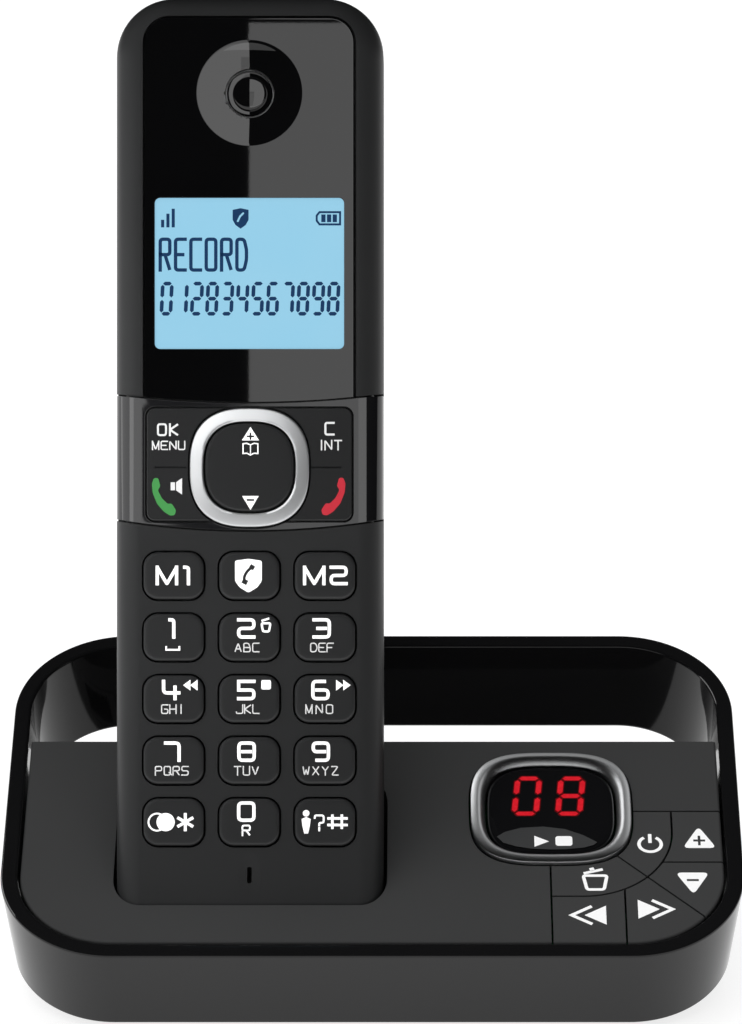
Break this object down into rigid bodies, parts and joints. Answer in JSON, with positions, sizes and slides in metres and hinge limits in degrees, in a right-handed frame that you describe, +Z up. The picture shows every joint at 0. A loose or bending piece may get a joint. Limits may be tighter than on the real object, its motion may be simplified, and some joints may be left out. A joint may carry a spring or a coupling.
{
  "type": "cordless telephone with answering machine",
  "caption": "Slim cordless telephone handset leaning in the pocket of a low desk base with a looped rim, a message counter and base keys.",
  "frame": {"origin": "on the table, below the middle of the telephone's overall box", "axes": "+Z up, -Y the front that faces the user, +X to the right seen from the front"},
  "size_m": [0.131, 0.0922, 0.1685],
  "materials": {
    "black_gloss": "polished black",
    "black_matt": "fine matt black",
    "key_grey": "satin dark grey",
    "chrome": "satin chrome",
    "lens_smoke": "polished smoke",
    "display_blue": "backlit pale blue",
    "digit_red": "red counter module",
    "board_green": "solder resist",
    "steel": "plain steel",
    "gold": "plated contact",
    "cell_wrap": "wrapped cell",
    "rubber": "soft black"
  },
  "bodies": {
    "base": {"base_ring": "black_gloss", "base_deck": "black_matt", "base_lower_housing": "black_matt", "rubber_foot_1": "rubber", "rubber_foot_2": "rubber", "rubber_foot_3": "rubber", "rubber_foot_4": "rubber", "display_bezel": "chrome", "digit_display": "digit_red", "base_circuit_board": "board_green", "base_loudspeaker": "steel", "line_socket": "black_matt", "power_socket": "black_matt"},
    "handset": {"handset_front_shell": "black_matt", "handset_rear_shell": "black_matt", "screen_window": "black_gloss", "function_collar": "black_gloss", "navigation_ring": "chrome", "keypad_mat": "rubber", "handset_circuit_board": "board_green", "lcd_panel": "display_blue", "receiver_capsule": "steel", "earpiece_cap": "black_gloss", "microphone_capsule": "steel", "handsfree_loudspeaker": "steel", "battery_link_plate": "steel", "battery_cell_left": "cell_wrap", "battery_cell_right": "cell_wrap", "charge_plate_left": "gold", "charge_plate_right": "gold"},
    "play_stop_key": {"play_stop_key": "lens_smoke"},
    "power_key": {"power_key": "key_grey"},
    "delete_key": {"delete_key": "key_grey"},
    "skip_back_key": {"skip_back_key": "key_grey"},
    "skip_forward_key": {"skip_forward_key": "key_grey"},
    "volume_up_key": {"volume_up_key": "key_grey"},
    "volume_down_key": {"volume_down_key": "key_grey"},
    "charge_pin_left": {"charge_pin_left": "gold"},
    "charge_pin_right": {"charge_pin_right": "gold"},
    "navigation_key": {"navigation_key": "key_grey"},
    "call_key_plate": {"call_key_plate": "black_gloss"},
    "end_key_plate": {"end_key_plate": "black_gloss"},
    "key_memory_1": {"key_memory_1": "key_grey"},
    "key_shield": {"key_shield": "key_grey"},
    "key_memory_2": {"key_memory_2": "key_grey"},
    "key_1": {"key_1": "key_grey"},
    "key_2": {"key_2": "key_grey"},
    "key_3": {"key_3": "key_grey"},
    "key_4": {"key_4": "key_grey"},
    "key_5": {"key_5": "key_grey"},
    "key_6": {"key_6": "key_grey"},
    "key_7": {"key_7": "key_grey"},
    "key_8": {"key_8": "key_grey"},
    "key_9": {"key_9": "key_grey"},
    "key_star": {"key_star": "key_grey"},
    "key_0": {"key_0": "key_grey"},
    "key_hash": {"key_hash": "key_grey"},
    "battery_door": {"battery_door": "black_matt"}
  },
  "joints": [
    {"name": "handset_lift", "type": "slide", "parent": "base", "child": "handset", "axis": [0, 0.3746, 0.9272], "range_m": [0, 0.04]},
    {"name": "battery_door_slide", "type": "slide", "parent": "handset", "child": "battery_door", "axis": [0, -0.3746, -0.9272], "range_m": [0, 0.008]},
    {"name": "navigation_key_rock", "type": "hinge", "parent": "handset", "child": "navigation_key", "pos_m": [-0.0215, -0.0045, 0.09297], "axis": [1, 0, 0], "range_deg": [-3, 3], "stiffness_Nm_per_rad": 0.2},
    {"name": "call_key_plate_rock", "type": "hinge", "parent": "handset", "child": "call_key_plate", "pos_m": [-0.0215, -0.0043, 0.09346], "axis": [1, 0, 0], "range_deg": [-3, 3], "stiffness_Nm_per_rad": 0.2},
    {"name": "end_key_plate_rock", "type": "hinge", "parent": "handset", "child": "end_key_plate", "pos_m": [-0.0215, -0.0043, 0.09346], "axis": [1, 0, 0], "range_deg": [-3, 3], "stiffness_Nm_per_rad": 0.2},
    {"name": "key_memory_1_press", "type": "slide", "parent": "handset", "child": "key_memory_1", "axis": [0, 0.9272, -0.3746], "range_m": [0, 0.0009], "stiffness_N_per_m": 1500},
    {"name": "key_shield_press", "type": "slide", "parent": "handset", "child": "key_shield", "axis": [0, 0.9272, -0.3746], "range_m": [0, 0.0009], "stiffness_N_per_m": 1500},
    {"name": "key_memory_2_press", "type": "slide", "parent": "handset", "child": "key_memory_2", "axis": [0, 0.9272, -0.3746], "range_m": [0, 0.0009], "stiffness_N_per_m": 1500},
    {"name": "key_1_press", "type": "slide", "parent": "handset", "child": "key_1", "axis": [0, 0.9272, -0.3746], "range_m": [0, 0.0009], "stiffness_N_per_m": 1500},
    {"name": "key_2_press", "type": "slide", "parent": "handset", "child": "key_2", "axis": [0, 0.9272, -0.3746], "range_m": [0, 0.0009], "stiffness_N_per_m": 1500},
    {"name": "key_3_press", "type": "slide", "parent": "handset", "child": "key_3", "axis": [0, 0.9272, -0.3746], "range_m": [0, 0.0009], "stiffness_N_per_m": 1500},
    {"name": "key_4_press", "type": "slide", "parent": "handset", "child": "key_4", "axis": [0, 0.9272, -0.3746], "range_m": [0, 0.0009], "stiffness_N_per_m": 1500},
    {"name": "key_5_press", "type": "slide", "parent": "handset", "child": "key_5", "axis": [0, 0.9272, -0.3746], "range_m": [0, 0.0009], "stiffness_N_per_m": 1500},
    {"name": "key_6_press", "type": "slide", "parent": "handset", "child": "key_6", "axis": [0, 0.9272, -0.3746], "range_m": [0, 0.0009], "stiffness_N_per_m": 1500},
    {"name": "key_7_press", "type": "slide", "parent": "handset", "child": "key_7", "axis": [0, 0.9272, -0.3746], "range_m": [0, 0.0009], "stiffness_N_per_m": 1500},
    {"name": "key_8_press", "type": "slide", "parent": "handset", "child": "key_8", "axis": [0, 0.9272, -0.3746], "range_m": [0, 0.0009], "stiffness_N_per_m": 1500},
    {"name": "key_9_press", "type": "slide", "parent": "handset", "child": "key_9", "axis": [0, 0.9272, -0.3746], "range_m": [0, 0.0009], "stiffness_N_per_m": 1500},
    {"name": "key_star_press", "type": "slide", "parent": "handset", "child": "key_star", "axis": [0, 0.9272, -0.3746], "range_m": [0, 0.0009], "stiffness_N_per_m": 1500},
    {"name": "key_0_press", "type": "slide", "parent": "handset", "child": "key_0", "axis": [0, 0.9272, -0.3746], "range_m": [0, 0.0009], "stiffness_N_per_m": 1500},
    {"name": "key_hash_press", "type": "slide", "parent": "handset", "child": "key_hash", "axis": [0, 0.9272, -0.3746], "range_m": [0, 0.0009], "stiffness_N_per_m": 1500},
    {"name": "play_stop_key_press", "type": "slide", "parent": "base", "child": "play_stop_key", "axis": [0, 0.3305, -0.9438], "range_m": [0, 0.0007], "stiffness_N_per_m": 2000},
    {"name": "power_key_press", "type": "slide", "parent": "base", "child": "power_key", "axis": [0, 0.3305, -0.9438], "range_m": [0, 0.0007], "stiffness_N_per_m": 2000},
    {"name": "delete_key_press", "type": "slide", "parent": "base", "child": "delete_key", "axis": [0, 0.3305, -0.9438], "range_m": [0, 0.0007], "stiffness_N_per_m": 2000},
    {"name": "skip_back_key_press", "type": "slide", "parent": "base", "child": "skip_back_key", "axis": [0, 0.3305, -0.9438], "range_m": [0, 0.0007], "stiffness_N_per_m": 2000},
    {"name": "skip_forward_key_press", "type": "slide", "parent": "base", "child": "skip_forward_key", "axis": [0, 0.3305, -0.9438], "range_m": [0, 0.0007], "stiffness_N_per_m": 2000},
    {"name": "volume_up_key_press", "type": "slide", "parent": "base", "child": "volume_up_key", "axis": [0, 0.3305, -0.9438], "range_m": [0, 0.0007], "stiffness_N_per_m": 2000},
    {"name": "volume_down_key_press", "type": "slide", "parent": "base", "child": "volume_down_key", "axis": [0, 0.3305, -0.9438], "range_m": [0, 0.0007], "stiffness_N_per_m": 2000},
    {"name": "charge_pin_left_press", "type": "slide", "parent": "base", "child": "charge_pin_left", "axis": [0, -0.3746, -0.9272], "range_m": [0, 0.0006], "stiffness_N_per_m": 800},
    {"name": "charge_pin_right_press", "type": "slide", "parent": "base", "child": "charge_pin_right", "axis": [0, -0.3746, -0.9272], "range_m": [0, 0.0006], "stiffness_N_per_m": 800}
  ]
}
